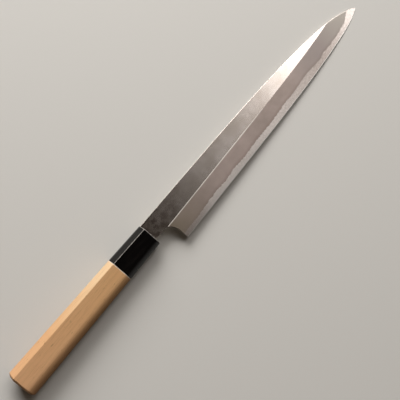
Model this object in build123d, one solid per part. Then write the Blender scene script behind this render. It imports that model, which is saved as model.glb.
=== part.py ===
from build123d import *
import os
from math import acos, atan, atan2, cos, degrees, hypot, pi, sin, sqrt

# A long single-bevel slicing knife with a D-shaped wooden handle, lying bevel side up.
# While it is modelled, x runs from the ferrule's front towards the tip, y towards the spine,
# and z out of the bevelled face, with z zero in the middle of the blade's thickness at the neck.
# All lengths are in millimetres.

# Spine line: a straight chord from the ferrule to the tip, plus a long belly and a drop at the tip
blade_length = 277.8
tip_offset = -7.75
spine_offset = 10.0
spine_belly = 12.8
spine_belly_power = 3.73
spine_drop = 6.8
spine_drop_power = 19.7

# Cutting edge: a straight chord from below the ferrule to the tip, plus a sweep and a rounded tip
edge_offset = 25.0
edge_sweep = 7.75
edge_sweep_power = 5.05
edge_tip_round = 3.2
edge_tip_power = 31.0
edge_thickness = 0.12

# Ridge line between the flat and the bevel
ridge_line_offset = 7.87
ridge_line_rise = 7.95
ridge_line_sweep = 6.9
ridge_line_power = 6.2

# Blade thickness, tapering from the neck to the tip
neck_thickness = 4.2
tip_thickness = 1.6
spine_chamfer = 0.45

# Neck and heel
heel_position = 18.75
choil_run = 7.7
choil_drop = 10.5
neck_depth = 6.5
neck_round_run = 5.5
neck_round_drop = 2.5

# Hard steel plate on the blade's back, with the wavy border that forge welding leaves
steel_start = 7.0
steel_scarf = 3.0

# Hollow ground into the back, inside a narrow flat rim
hollow_depth = 0.32
hollow_edge_rim = 1.3
hollow_spine_rim = 1.6
hollow_heel_rim = 2.6
hollow_tip_rim = 15.0

# Tang, a tapering bar inside the handle
tang_length = 95.0
tang_front_width = 10.6
tang_end_width = 6.0
tang_front_thickness = 3.2
tang_end_thickness = 2.0
tang_offset = 2.2
tang_clearance = 0.15

# Handle outline in plan
handle_length = 147.5
ferrule_length = 36.2
front_half_width = 10.75
joint_half_width = 11.4
butt_half_width = 12.75

# Handle section: a rounded oval with one ridge on the upper side, nearer the spine
handle_sink = 0.8
front_ridge_offset = 5.1
joint_ridge_offset = 5.45
butt_ridge_offset = 6.1
front_ridge_height = 8.5
joint_ridge_height = 8.85
butt_ridge_height = 9.65
front_side_radius = 7.0
joint_side_radius = 7.4
butt_side_radius = 8.4
underside_radius = 34.0
ferrule_rim_chamfer = 0.5
butt_chamfer = 1.7
butt_chamfer_length = 1.7

# Tenon of the wood inside the horn ferrule
tenon_half_width = 7.8
tenon_half_height = 5.4
tenon_length = 27.0
socket_extra_depth = 1.0
glue_gap = 0.05
pilot_bore_radius = 2.4
pilot_bore_extra = 6.0

# One overrun for cutting bodies
cut_overrun = 5.0

# Places along the blade where its curves are taken, closer together towards the tip
station_shares = (0, 0.08, 0.2, 0.35, 0.5, 0.62, 0.72, 0.8, 0.86, 0.91, 0.95, 0.975, 0.99, 1)
bevel_station_shares = (0.03, 0.2, 0.4, 0.6, 0.75, 0.86, 0.94, 0.98, 0.99, 1, 1.01, 1.02)
hollow_station_shares = (0, 0.006, 0.02, 0.05, 0.1, 0.3, 0.5, 0.7, 0.8, 0.88, 0.94, 0.98, 0.994, 1)
hollow_width_shares = (0.35, 0.62, 0.86, 0.97, 1, 1, 1, 1, 1, 0.99, 0.94, 0.8, 0.58, 0.35)

# Where the weld shows on the bevel: share of the blade's length, share of the bevel's width
weld_line_shares = (
    (0.03, 0.22),
    (0.09, 0.22),
    (0.16, 0.24),
    (0.2, 0.29),
    (0.23, 0.295),
    (0.27, 0.25),
    (0.32, 0.31),
    (0.35, 0.27),
    (0.4, 0.285),
    (0.46, 0.305),
    (0.51, 0.28),
    (0.55, 0.31),
    (0.585, 0.335),
    (0.615, 0.305),
    (0.665, 0.33),
    (0.695, 0.361),
    (0.73, 0.316),
    (0.758, 0.257),
    (0.776, 0.241),
    (0.794, 0.29),
    (0.83, 0.257),
    (0.875, 0.231),
    (0.9, 0.246),
    (0.92, 0.235),
    (0.94, 0.294),
    (0.957, 0.39),
    (0.97, 0.466),
    (1, 0.69),
    (1.02, 0.855),
)

back_z = -neck_thickness / 2


# Curves of the blade

def spine_y(x):
    r = x / blade_length
    belly = spine_belly * (r - r ** spine_belly_power)
    drop = spine_drop * (r - r ** spine_drop_power)
    return spine_offset * (1 - r) + tip_offset * r + belly + drop


def edge_y(x):
    r = x / blade_length
    sweep = edge_sweep * (r - r ** edge_sweep_power)
    tip_round = edge_tip_round * (r - r ** edge_tip_power)
    return tip_offset * r - edge_offset * (1 - r) - sweep - tip_round


def ridge_line_y(x):
    r = x / blade_length
    return ridge_line_rise * r + ridge_line_sweep * r ** ridge_line_power - ridge_line_offset


def front_z(x):
    r = x / blade_length
    return back_z + neck_thickness * (1 - r) + tip_thickness * r


def bevel_slope(x):
    height = front_z(x) - back_z - edge_thickness
    return height / (ridge_line_y(x) - edge_y(x))


def bevel_z(x, y):
    return back_z + edge_thickness + (y - edge_y(x)) * bevel_slope(x)


def top_z_at_spine(x):
    return min(front_z(x), bevel_z(x, spine_y(x)))


def weld_z(place_share, height_share):
    x = min(place_share, 1) * blade_length
    return back_z + edge_thickness + height_share * (front_z(x) - back_z - edge_thickness)


# Small shapes used throughout

def face_across(x, corners):
    points = [(x, y, z) for y, z in corners]
    return Face(Wire.make_polygon(points, close=True))


def face_of(edges):
    return Face(Wire(edges))


# Blade blank: the outline extruded through the thickness and tapered towards the tip

def quarter_curve(start, end, start_direction, end_direction):
    first = Vector(start)
    last = Vector(end)
    turn = Vector(end_direction)
    centre = first + turn * (last - first).dot(turn)
    middle = centre + (first - centre + last - centre) * sqrt(0.5)
    return Spline(first, middle, last, tangents=(start_direction, end_direction))


def outline_face():
    places = [share * blade_length for share in station_shares]
    edge_places = [heel_position] + [x for x in places if x > heel_position + choil_run]
    spine_points = [(x, spine_y(x), back_z) for x in places]
    edge_points = [(x, edge_y(x), back_z) for x in edge_places]
    choil_end = (heel_position, -neck_depth - choil_drop, back_z)
    choil_start = (heel_position - choil_run, -neck_depth, back_z)
    round_end = (neck_round_run, -neck_depth, back_z)
    round_start = (0, neck_round_drop - neck_depth, back_z)
    edges = [
        Spline(*spine_points),
        Spline(*reversed(edge_points)),
        Line(edge_points[0], choil_end),
        quarter_curve(choil_end, choil_start, (0, 1, 0), (-1, 0, 0)),
        Line(choil_start, round_end),
        quarter_curve(round_end, round_start, (-1, 0, 0), (0, 1, 0)),
        Line(round_start, spine_points[0]),
    ]
    return face_of(edges)


def taper_body():
    reach = edge_offset + cut_overrun
    corners = [
        (0, reach, back_z),
        (blade_length + cut_overrun, reach, back_z),
        (blade_length + cut_overrun, reach, front_z(blade_length + cut_overrun)),
        (0, reach, front_z(0)),
    ]
    side = Face(Wire.make_polygon(corners, close=True))
    return extrude(side, amount=2 * reach, dir=(0, -1, 0))


def ruled_cutter(first_points, second_points, direction, depth):
    face = Face.make_surface_from_curves(Spline(*first_points).edge(), Spline(*second_points).edge())
    return extrude(face, amount=depth, dir=direction)


def bevel_cutter():
    outer_points = []
    inner_points = []
    for share in bevel_station_shares:
        x = share * blade_length
        place = min(x, blade_length)
        outer_y = edge_y(place) - cut_overrun
        inner_y = ridge_line_y(place) + cut_overrun
        outer_points.append((x, outer_y, bevel_z(place, outer_y)))
        inner_points.append((x, inner_y, bevel_z(place, inner_y)))
    return ruled_cutter(outer_points, inner_points, (0, 0, 1), neck_thickness + cut_overrun)


def spine_chamfer_cutter(z_at, side):
    low_points = []
    high_points = []
    for share in station_shares:
        x = share * blade_length
        y = spine_y(x)
        z = z_at(x)
        out = 2 * spine_chamfer
        low_points.append((x, y - out, z + side * spine_chamfer))
        high_points.append((x, y + spine_chamfer, z - side * out))
    return ruled_cutter(low_points, high_points, (0, 1, side), cut_overrun)


def hollow_section(x, width_share):
    low_y = edge_y(x) + hollow_edge_rim
    high_y = spine_y(x) - hollow_spine_rim
    middle = (low_y + high_y) / 2
    half = (high_y - low_y) / 2 * width_share
    depth = hollow_depth * width_share ** 2
    below = back_z - hollow_depth
    left = (x, middle - half, back_z)
    right = (x, middle + half, back_z)
    left_below = (x, middle - half, below)
    right_below = (x, middle + half, below)
    edges = [
        ThreePointArc(left, (x, middle, back_z + depth), right),
        Line(right, right_below),
        Line(right_below, left_below),
        Line(left_below, left),
    ]
    return face_of(edges)


def hollow_cutter():
    start = heel_position + hollow_heel_rim
    end = blade_length - hollow_tip_rim
    faces = []
    for place_share, width_share in zip(hollow_station_shares, hollow_width_shares):
        faces.append(hollow_section(start + (end - start) * place_share, width_share))
    return loft(faces, ruled=True)


def whole_blade():
    blank = extrude(outline_face(), amount=neck_thickness, dir=(0, 0, 1))
    blade = blank & taper_body()
    blade = blade - bevel_cutter()
    blade = blade - spine_chamfer_cutter(top_z_at_spine, 1)
    blade = blade - spine_chamfer_cutter(lambda x: back_z, -1)
    return blade - hollow_cutter()


# Hard steel plate: everything under the wavy weld surface, from just ahead of the ferrule

def steel_region():
    reach = edge_offset + cut_overrun
    points = [(place * blade_length, reach, weld_z(place, height)) for place, height in weld_line_shares]
    toe = (steel_start, reach, back_z)
    points[0] = (steel_start + steel_scarf, reach, points[0][2])
    below = back_z - cut_overrun
    last_below = (points[-1][0], reach, below)
    toe_below = (steel_start, reach, below)
    edges = [
        Line(toe, points[0]),
        Spline(*points),
        Line(points[-1], last_below),
        Line(last_below, toe_below),
        Line(toe_below, toe),
    ]
    return extrude(face_of(edges), amount=2 * reach, dir=(0, -1, 0))


# Tang and the slot it needs, which is larger by a clearance

def tang_body(clearance, extra):
    half_front = tang_front_width / 2 + clearance
    half_end = tang_end_width / 2 + clearance
    high_front = tang_front_thickness / 2 + clearance
    high_end = tang_end_thickness / 2 + clearance
    front = [
        (tang_offset - half_front, -high_front),
        (tang_offset + half_front, -high_front),
        (tang_offset + half_front, high_front),
        (tang_offset - half_front, high_front),
    ]
    end = [
        (-half_end, -high_end),
        (half_end, -high_end),
        (half_end, high_end),
        (-half_end, high_end),
    ]
    return loft([face_across(0, front), face_across(-tang_length - extra, end)], ruled=True)


# Handle section: two side rounds, a broad underside arc, and two flats that meet at the ridge

def handle_section(x, half_width, side_radius, ridge_y, ridge_z, inset):
    radius = side_radius - inset
    side_y = half_width - side_radius
    side_z = -handle_sink
    under = underside_radius - inset
    centre_z = side_z + sqrt((under - radius) ** 2 - side_y ** 2)
    reach = hypot(side_y, centre_z - side_z)

    def on_side(sign, angle):
        return (x, sign * side_y + radius * cos(angle), side_z + radius * sin(angle))

    def tangent_angle(sign):
        dy = ridge_y - sign * side_y
        dz = ridge_z - side_z
        return atan2(dz, dy) - sign * acos(side_radius / hypot(dy, dz))

    spine_angle = tangent_angle(1)
    edge_angle = tangent_angle(-1)
    under_angle = atan2(-(centre_z - side_z) / reach, side_y / reach)
    spread = 1 + cos(edge_angle - spine_angle)
    top_y = ridge_y - inset * (cos(edge_angle) + cos(spine_angle)) / spread
    top_z = ridge_z - inset * (sin(edge_angle) + sin(spine_angle)) / spread
    top = (x, top_y, top_z)
    spine_end = on_side(1, under_angle)
    edge_start = on_side(-1, pi - under_angle)
    spine_middle = on_side(1, (spine_angle + under_angle) / 2)
    edge_middle = on_side(-1, (pi - under_angle + edge_angle) / 2)
    edges = [
        Line(top, on_side(1, spine_angle)),
        ThreePointArc(on_side(1, spine_angle), spine_middle, spine_end),
        ThreePointArc(spine_end, (x, 0, centre_z - under), edge_start),
        ThreePointArc(edge_start, edge_middle, on_side(-1, edge_angle)),
        Line(on_side(-1, edge_angle), top),
    ]
    return face_of(edges)


def front_section(x, inset):
    return handle_section(
        x, front_half_width, front_side_radius, front_ridge_offset, front_ridge_height, inset
    )


def joint_section():
    return handle_section(
        -ferrule_length, joint_half_width, joint_side_radius, joint_ridge_offset, joint_ridge_height, 0
    )


def butt_section(x, inset):
    return handle_section(x, butt_half_width, butt_side_radius, butt_ridge_offset, butt_ridge_height, inset)


def tenon_body(extra_size, extra_length):
    plane = Plane(origin=(-ferrule_length, 0, 0), x_dir=(0, 1, 0), z_dir=(1, 0, 0))
    outline = plane * Ellipse(tenon_half_width + extra_size, tenon_half_height + extra_size)
    return extrude(outline, amount=tenon_length + extra_length)


# The four pieces

def make_iron(blade, region):
    return (blade - region) + tang_body(0, 0)


def make_steel(blade, region):
    return blade & region


def make_ferrule():
    rim = loft([front_section(0, ferrule_rim_chamfer), front_section(-ferrule_rim_chamfer, 0)], ruled=True)
    body = loft([front_section(-ferrule_rim_chamfer, 0), joint_section()], ruled=True)
    socket = tenon_body(glue_gap, socket_extra_depth)
    return rim + body - socket - tang_body(tang_clearance, 0)


def make_grip():
    body_end = butt_chamfer_length - handle_length
    body = loft([joint_section(), butt_section(body_end, 0)], ruled=True)
    end = loft([butt_section(body_end, 0), butt_section(-handle_length, butt_chamfer)], ruled=True)
    bore_length = tang_length + pilot_bore_extra - ferrule_length
    bore_plane = Plane(origin=(-ferrule_length, 0, 0), x_dir=(0, 1, 0), z_dir=(-1, 0, 0))
    bore = extrude(bore_plane * Circle(pilot_bore_radius), amount=bore_length)
    return body + end + tenon_body(0, 0) - tang_body(tang_clearance, tang_clearance) - bore


# Resting pose: the knife lies on the ferrule's underside and on its tip

def rest_pitch():
    side_y = front_half_width - front_side_radius
    centre_z = sqrt((underside_radius - front_side_radius) ** 2 - side_y ** 2) - handle_sink
    ferrule_height = centre_z - underside_radius
    return degrees(atan((back_z - ferrule_height) / blade_length))


def main():
    os.makedirs("parts", exist_ok=True)
    blade = whole_blade()
    region = steel_region()
    pieces = {
        "blade_iron": make_iron(blade, region),
        "blade_steel": make_steel(blade, region),
        "ferrule": make_ferrule(),
        "grip": make_grip(),
    }
    pose = Rotation(0, rest_pitch(), 0)
    posed = {name: pose * piece for name, piece in pieces.items()}
    solids = [solid for piece in posed.values() for solid in piece.solids()]
    box = Compound(children=solids).bounding_box()
    shift = Pos(-box.center().X, -box.center().Y, -box.min.Z)
    for name, piece in posed.items():
        export_step(shift * piece, "parts/" + name + ".step")
        print(name, "solids", len(piece.solids()), "volume", round(piece.volume), "valid", piece.is_valid)
    print("pitch", round(rest_pitch(), 4), "shift", shift.position, "size", box.size)


main()
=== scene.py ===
import bmesh
import bpy
import numpy as np
from mathutils import Matrix, Vector


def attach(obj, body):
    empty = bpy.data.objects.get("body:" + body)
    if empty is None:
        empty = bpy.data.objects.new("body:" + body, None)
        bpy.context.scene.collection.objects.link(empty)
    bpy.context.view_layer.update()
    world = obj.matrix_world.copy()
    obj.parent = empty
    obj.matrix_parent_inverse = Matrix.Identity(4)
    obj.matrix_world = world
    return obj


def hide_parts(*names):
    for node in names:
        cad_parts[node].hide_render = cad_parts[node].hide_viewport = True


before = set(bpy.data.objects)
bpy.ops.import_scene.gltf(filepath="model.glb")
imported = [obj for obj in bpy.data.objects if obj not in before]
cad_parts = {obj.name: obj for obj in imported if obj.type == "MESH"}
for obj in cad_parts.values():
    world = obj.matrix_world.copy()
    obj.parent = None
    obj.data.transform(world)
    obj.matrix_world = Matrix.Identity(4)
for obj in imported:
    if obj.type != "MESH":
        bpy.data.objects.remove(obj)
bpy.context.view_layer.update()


# Blade body
# The upper layer of the blade is a bar of soft iron, forge welded to the cutting steel and ground
# on one side only: a narrow flat runs along the spine and a wide bevel falls from it to the edge.
# The flat is belt ground lengthwise and buffed satin, the bevel is hazed on a soft stone.
# Shapes are worked out in millimetres in the knife's own directions: x from the ferrule's front
# to the tip, y towards the spine, z out of the bevelled face. place() lays the knife down.

blade_length = 277.8
tip_x = 277.45
tip_offset = -7.75
spine_offset = 10.0
spine_belly, spine_belly_power = 12.8, 3.73
spine_drop, spine_drop_power = 6.8, 19.7
edge_offset = 25.0
edge_sweep, edge_sweep_power = 7.75, 5.05
edge_tip_round, edge_tip_power = 3.2, 31.0
ridge_line_offset, ridge_line_rise = 7.87, 7.95
ridge_line_sweep, ridge_line_power = 6.9, 6.2
ridge_ease = 0.03
neck_thickness = 4.2
tip_thickness = 1.6
back_z = -neck_thickness / 2
edge_thickness = 0.12
spine_chamfer = 0.45
heel_x = 18.75
choil_run = 7.7
choil_drop = 10.5
neck_depth = 6.5
neck_round_run = 5.5
neck_round_drop = 2.5
steel_start = 7.0
steel_scarf = 3.0
rest_pitch = np.radians(1.2294)
rest_shift = np.array([-64.8682, 5.91239, 8.0525])
tiny = 1e-6

# Where the weld shows on the bevel: share of the blade's length, share of the bevel's width
weld_places = np.array([
    0.03, 0.09, 0.16, 0.2, 0.23, 0.27, 0.32, 0.35, 0.4, 0.46, 0.51, 0.55, 0.585, 0.615,
    0.665, 0.695, 0.73, 0.758, 0.776, 0.794, 0.83, 0.875, 0.9, 0.92, 0.94, 0.957, 0.97, 1, 1.02,
])
weld_heights = np.array([
    0.22, 0.22, 0.24, 0.29, 0.295, 0.25, 0.31, 0.27, 0.285, 0.305, 0.28, 0.31, 0.335, 0.305,
    0.33, 0.361, 0.316, 0.257, 0.241, 0.29, 0.257, 0.231, 0.246, 0.235, 0.294, 0.39, 0.466, 0.69, 0.855,
])

# How bright the steel looks along the blade, its polish and partly painted reflection: place in
# millimetres, share of the best
polish_and_reflection_places = np.array([19, 40, 56, 75, 100, 140, 165, 185, 215, 232, 248, 262, 277])
polish_and_reflection_shares = np.array([0.2, 0.5, 1.0, 1.0, 0.82, 0.78, 0.5, 0.33, 0.1, 0.2, 0.42, 0.65, 0.8])


def spine_y(x):
    """A chord from ferrule to tip, plus a belly and a tip drop, each a share less its own power."""
    r = x / blade_length
    belly = spine_belly * (r - r ** spine_belly_power)
    return spine_offset * (1 - r) + tip_offset * r + belly + spine_drop * (r - r ** spine_drop_power)


def edge_y(x):
    """A chord from below the ferrule to the tip, less a long sweep and a short rounding at the tip."""
    r = x / blade_length
    sweep = edge_sweep * (r - r ** edge_sweep_power)
    return tip_offset * r - edge_offset * (1 - r) - sweep - edge_tip_round * (r - r ** edge_tip_power)


def ridge_y(x):
    """A straight rise towards the tip plus a high power that sweeps it up to the spine."""
    r = x / blade_length
    return ridge_line_rise * r + ridge_line_sweep * r ** ridge_line_power - ridge_line_offset


def flat_z(x):
    """The back plane plus a thickness that falls evenly from neck to tip."""
    r = x / blade_length
    return back_z + neck_thickness * (1 - r) + tip_thickness * r


def bevel_share(x, y):
    """Height of a point on the bevel, as its share of the way from the edge to the ridge line."""
    return (y - edge_y(x)) / (ridge_y(x) - edge_y(x))


def bevel_z(x, y):
    """A straight rise from the top of the cutting edge to the flat at the ridge line."""
    return back_z + edge_thickness + bevel_share(x, y) * (flat_z(x) - back_z - edge_thickness)


def top_z(x, y):
    """The lower of flat and bevel, their meeting eased by a shallow hyperbola."""
    flat, bevel = flat_z(x), bevel_z(x, y)
    return (flat + bevel - np.sqrt((flat - bevel) ** 2 + ridge_ease ** 2)) / 2


def weld_height(x):
    """A cubic through the noted places, each with the slope that its neighbours give."""
    r = np.minimum(x / blade_length, 1)
    i = np.clip(np.searchsorted(weld_places, r) - 1, 0, len(weld_places) - 2)
    slope = np.gradient(weld_heights, weld_places)
    step = weld_places[i + 1] - weld_places[i]
    t = (r - weld_places[i]) / step
    start = weld_heights[i] * (1 + 2 * t) * (1 - t) ** 2 + slope[i] * step * t * (1 - t) ** 2
    return start + weld_heights[i + 1] * t ** 2 * (3 - 2 * t) - slope[i + 1] * step * t ** 2 * (1 - t)


def weld_z(x):
    """Height of the weld between iron and steel: its share of the thickness above the edge's top."""
    return back_z + edge_thickness + weld_height(x) * (flat_z(x) - back_z - edge_thickness)


def steel_top(x):
    """The weld's height, which runs out to the back plane through a short scarf at the neck."""
    scarf = np.clip((x - steel_start) / steel_scarf, 0, 1)
    return back_z + (weld_z(np.maximum(x, steel_start + steel_scarf)) - back_z) * scarf


def place(points):
    """Turns the knife's millimetres by its resting pitch about y, shifts them and makes metres."""
    x, y, z = points[..., 0], points[..., 1], points[..., 2]
    turned_x = x * np.cos(rest_pitch) + z * np.sin(rest_pitch)
    turned_z = z * np.cos(rest_pitch) - x * np.sin(rest_pitch)
    return (np.stack([turned_x, y, turned_z], -1) + rest_shift) / 1000


def blade_outline():
    """Lower outline by station: the neck's quarter ellipse and straight, the choil's quarter
    ellipse, the straight heel and the cutting edge. The stations' lines fan out across the blade,
    so their x on the spine and near the ridge line is given too."""
    quarter = np.linspace(0, np.pi / 2, 14)
    scarf_x = np.linspace(steel_start, steel_start + steel_scarf, 3)
    neck_top = neck_round_drop - neck_depth
    neck_x = np.append(neck_round_run * (1 - np.cos(quarter)), scarf_x)
    neck_y = np.append(neck_top - neck_round_drop * np.sin(quarter), 0 * scarf_x - neck_depth)
    meeting = 0.4  # the angle where the choil crosses the ridge line, found by repeated steps
    for _ in range(9):
        ridge_there = ridge_y(heel_x - choil_run + choil_run * np.sin(meeting))
        meeting = np.arccos((ridge_there + neck_depth + choil_drop) / choil_drop)
    on_ridge = 13
    turn = np.append(np.linspace(0, meeting, on_ridge + 1), np.linspace(meeting, np.pi / 2, 26)[1:])
    choil_x = heel_x - choil_run + choil_run * np.sin(turn)
    choil_y = -neck_depth - choil_drop + choil_drop * np.cos(turn)
    weld_y = edge_y(heel_x) + weld_height(heel_x) * (ridge_y(heel_x) - edge_y(heel_x))
    heel_y = [np.linspace(choil_y[-1], weld_y, 9)[1:], np.linspace(weld_y, edge_y(heel_x), 9)[1:]]
    heel_y = np.concatenate(heel_y)
    crowding = 0.35
    run = np.linspace(0, 1, 330)[1:]
    edge_x = heel_x + (tip_x - heel_x) * (run + crowding * run * (1 - run))
    low_x = np.concatenate([neck_x, choil_x, np.full(len(heel_y), heel_x), edge_x])
    low_y = np.concatenate([neck_y, choil_y, heel_y, edge_y(edge_x)])
    fan_lead, fan_run = 6.25, 60.0
    neck_end = heel_x - choil_run
    lean = np.linspace(0, 1, len(choil_x) + len(heel_y))
    fan_x = neck_end + (heel_x + fan_lead - neck_end) * lean
    lead = fan_lead * np.clip(1 - (edge_x - heel_x) / fan_run, 0, 1) ** 2
    high_x = np.concatenate([neck_x, fan_x, edge_x + lead])
    past = np.clip((lean - lean[on_ridge]) / (1 - lean[on_ridge]), 0, 1)
    fan_ridge_x = choil_x[on_ridge] + (heel_x + fan_lead / 2 - choil_x[on_ridge]) * past
    middle_x = np.concatenate([neck_x, fan_ridge_x, edge_x + lead / 2])
    return low_x, low_y, np.minimum(high_x, tip_x), np.minimum(middle_x, tip_x)


low_x, low_y, high_x, middle_x = blade_outline()

# Where the blade is thin, near the tip, the spine's chamfer is a share of its thickness
thin_share, inward = 0.4, 0.3
spine_thickness = bevel_z(high_x, spine_y(high_x) - inward) - back_z
chamfer = np.minimum(spine_chamfer, thin_share * spine_thickness)
crown_y = spine_y(high_x) - chamfer
crown_z = top_z(high_x, crown_y)
ridge_at = np.minimum(ridge_y(middle_x), spine_y(middle_x) - chamfer)
above = low_y > ridge_y(low_x) - tiny
below = ridge_y(middle_x) < crown_y
ridge_x = np.where(above, low_x, np.where(below, middle_x, high_x))
ridge_at = np.where(above, low_y, np.where(below, ridge_at, crown_y))

# How far along each station's line, from the lower outline to the ridge, the weld crosses it:
# stepped to by the line's own slope
weld_t = np.zeros_like(low_x)
for _ in range(6):
    line_x = low_x + weld_t * (ridge_x - low_x)
    line_y = low_y + weld_t * (ridge_at - low_y)
    rate = bevel_share(ridge_x, ridge_at) - bevel_share(low_x, low_y)
    weld_t = weld_t + (weld_height(line_x) - bevel_share(line_x, line_y)) / np.maximum(rate, 0.02)
    weld_t = np.clip(weld_t, 0, 1)
weld_line_x = low_x + weld_t * (ridge_x - low_x)
weld_line_y = low_y + weld_t * (ridge_at - low_y)
drop = np.clip(crown_z - steel_top(high_x), 0, chamfer)
weld_turn = np.arccos(1 - drop / chamfer)


def spine_round(start, end, count):
    """A quarter round that leads from the top into the spine, between two angles of its turn."""
    turn = start[:, None] + (end - start)[:, None] * np.linspace(0, 1, count)
    y = crown_y[:, None] + chamfer[:, None] * np.sin(turn)
    z = crown_z[:, None] - chamfer[:, None] * (1 - np.cos(turn))
    return np.stack([high_x[:, None] + 0 * turn, y, z], -1)


def rows_between(x0, y0, x1, y1, near_start, near_end, even):
    """Points along each station's line, as shares of its length: at the given millimetres from
    both ends and evenly spread between; on a short line those millimetres shrink with it."""
    short_line = 3.0
    length = np.maximum(np.hypot(x1 - x0, y1 - y0), tiny)[:, None]
    squeeze = np.minimum(1, length / short_line)
    start = np.array(near_start) * squeeze / length
    end = 1 - np.array(near_end)[::-1] * squeeze / length
    inner = start[:, -1:] + (end[:, :1] - start[:, -1:]) * np.linspace(0, 1, even + 2)[1:-1]
    t = np.concatenate([start, inner, end], 1)
    return x0[:, None] + t * (x1 - x0)[:, None], y0[:, None] + t * (y1 - y0)[:, None]


merged_gap = 4e-6
sharp_turn = np.radians(24)


def shell_piece(name, rings, zones, marks):
    """A closed surface: rings of points, one ring a station, joined by quads to the next ring and
    closed by a face at each end. zones gives each row of quads its material, marks its attributes.
    Points closer than merged_gap metres become one, and edges over sharp_turn stay sharp."""
    stations, count = rings.shape[:2]
    index = np.arange(stations * count).reshape(stations, count)
    near, far = index[:-1], index[1:]
    quads = np.stack([near, far, np.roll(far, -1, 1), np.roll(near, -1, 1)], -1).reshape(-1, 4)
    mesh = bpy.data.meshes.new(name)
    faces = quads.tolist() + [index[0].tolist(), index[-1][::-1].tolist()]
    mesh.from_pydata(place(rings).reshape(-1, 3).tolist(), [], faces)
    slots = np.append(np.tile(zones, stations - 1), [zones[-1], zones[-1]]).astype(np.int32)
    mesh.polygons.foreach_set("material_index", slots)
    for mark, values in marks.items():
        made = mesh.attributes.new(mark, "FLOAT", "POINT")
        spread = np.broadcast_to(values, rings.shape[:2])
        made.data.foreach_set("value", spread.astype(np.float32).ravel())
    tidy = bmesh.new()
    tidy.from_mesh(mesh)
    bmesh.ops.remove_doubles(tidy, verts=tidy.verts, dist=merged_gap)
    bmesh.ops.dissolve_degenerate(tidy, edges=tidy.edges, dist=merged_gap / 4)
    bmesh.ops.recalc_face_normals(tidy, faces=tidy.faces)
    tidy.to_mesh(mesh)
    tidy.free()
    mesh.shade_smooth()
    mesh.set_sharp_from_angle(angle=sharp_turn)
    piece = bpy.data.objects.new(name, mesh)
    bpy.context.scene.collection.objects.link(piece)
    return piece


# One ring a station: the bevel and the flat, the round into the spine, the side above the weld,
# and the underside that lies on the steel
ridge_steps = [0, 0.06, 0.13, 0.22, 0.36, 0.6]
weld_steps = [0, 0.25, 0.6]
crown_steps = [0, 0.3]
bevel_x, bevel_y = rows_between(weld_line_x, weld_line_y, ridge_x, ridge_at, weld_steps, ridge_steps, 9)
face_x, face_y = rows_between(ridge_x, ridge_at, high_x, crown_y, ridge_steps, crown_steps, 9)
iron_top_x = np.concatenate([bevel_x, face_x[:, 1:]], 1)
iron_top_y = np.concatenate([bevel_y, face_y[:, 1:]], 1)
iron_top = np.stack([iron_top_x, iron_top_y, top_z(iron_top_x, iron_top_y)], -1)
iron_floor = np.where(high_x < steel_start, back_z, steel_top(high_x))
iron_round = spine_round(np.zeros_like(high_x), weld_turn, 6)[:, 1:]
side_y = iron_round[:, -1, 1]
foot = np.where(high_x < steel_start, chamfer, 0)
side_foot = np.stack([high_x, side_y, np.minimum(crown_z - drop, iron_floor + foot)], -1)[:, None]
under_x = np.linspace(high_x, weld_line_x, 5, axis=1)
under_y = np.linspace(side_y - foot, weld_line_y, 5, axis=1)
under_z = np.where(under_x < steel_start, back_z, steel_top(under_x))
under_z = np.minimum(under_z, top_z(under_x, under_y))
iron_under = np.stack([under_x, under_y, under_z], -1)
iron_rings = np.concatenate([iron_top, iron_round, side_foot, iron_under], 1)

# Near the tip the weld reaches the spine, and there the iron ends in a point
iron_last = np.argmax((weld_t >= 0.99) & (low_x > blade_length / 2)) + 1
iron_rings[iron_last - 1] = iron_rings[iron_last - 1].mean(0)
bevel_rows = bevel_x.shape[1] - 1
face_rows = face_x.shape[1] - 1
side_rows = iron_rings.shape[1] - bevel_rows - face_rows
iron_zones = np.repeat([1, 0, 2], [bevel_rows, face_rows, side_rows])
iron_marks = {
    "ridge_gap": iron_rings[..., 1] - ridge_y(iron_rings[..., 0]),
    "weld_gap": iron_rings[..., 1] - weld_line_y[:, None],
    "polish_and_reflection": np.interp(iron_rings[..., 0], polish_and_reflection_places, polish_and_reflection_shares),
    "along": iron_rings[..., 0],
    "spine_gap": crown_y[:, None] - iron_rings[..., 1],
}
iron_marks = {mark: values[:iron_last] for mark, values in iron_marks.items()}
blade_body = shell_piece("forged_iron_body", iron_rings[:iron_last], iron_zones, iron_marks)


def linear(colour):
    """sRGB hex to linear light: each channel by the standard sRGB curve."""
    share = np.array([int(colour[i:i + 2], 16) for i in (1, 3, 5)]) / 255
    light = np.where(share <= 0.04045, share / 12.92, ((share + 0.055) / 1.055) ** 2.4)
    return (*light.tolist(), 1.0)


def add_node(tree, kind, sockets=(), **settings):
    """Adds one node: settings are its own properties, and sockets pairs an input with what it
    gets: a plain value, another node's output, or another node, which gives its first output."""
    made = tree.nodes.new("ShaderNode" + kind)
    for name, value in settings.items():
        setattr(made, name, value)
    for socket, value in sockets:
        if isinstance(value, bpy.types.Node):
            value = value.outputs[0]
        if isinstance(value, bpy.types.NodeSocket):
            tree.links.new(value, made.inputs[socket])
        else:
            made.inputs[socket].default_value = value
    return made


def new_material(name):
    """A material with an empty tree, and that tree."""
    made = bpy.data.materials.new(name)
    made.use_nodes = True
    made.node_tree.nodes.clear()
    return made, made.node_tree


def painted_ridge_highlight(tree, far, near):
    """Share of the painted highlight along the ridge: it grows from far to near, two
    distances from the ridge line in millimetres, and fades out at the middle of the blade."""
    along = add_node(tree, "Attribute", attribute_name="along").outputs["Fac"]
    kept = add_node(tree, "MapRange", [("Value", along), ("From Min", 150.0), ("From Max", 118.0)])
    gap = add_node(tree, "Attribute", attribute_name="ridge_gap").outputs["Fac"]
    return add_node(tree, "MapRange", [
        ("Value", gap), ("From Min", far), ("From Max", near), ("To Max", kept),
    ])


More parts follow.
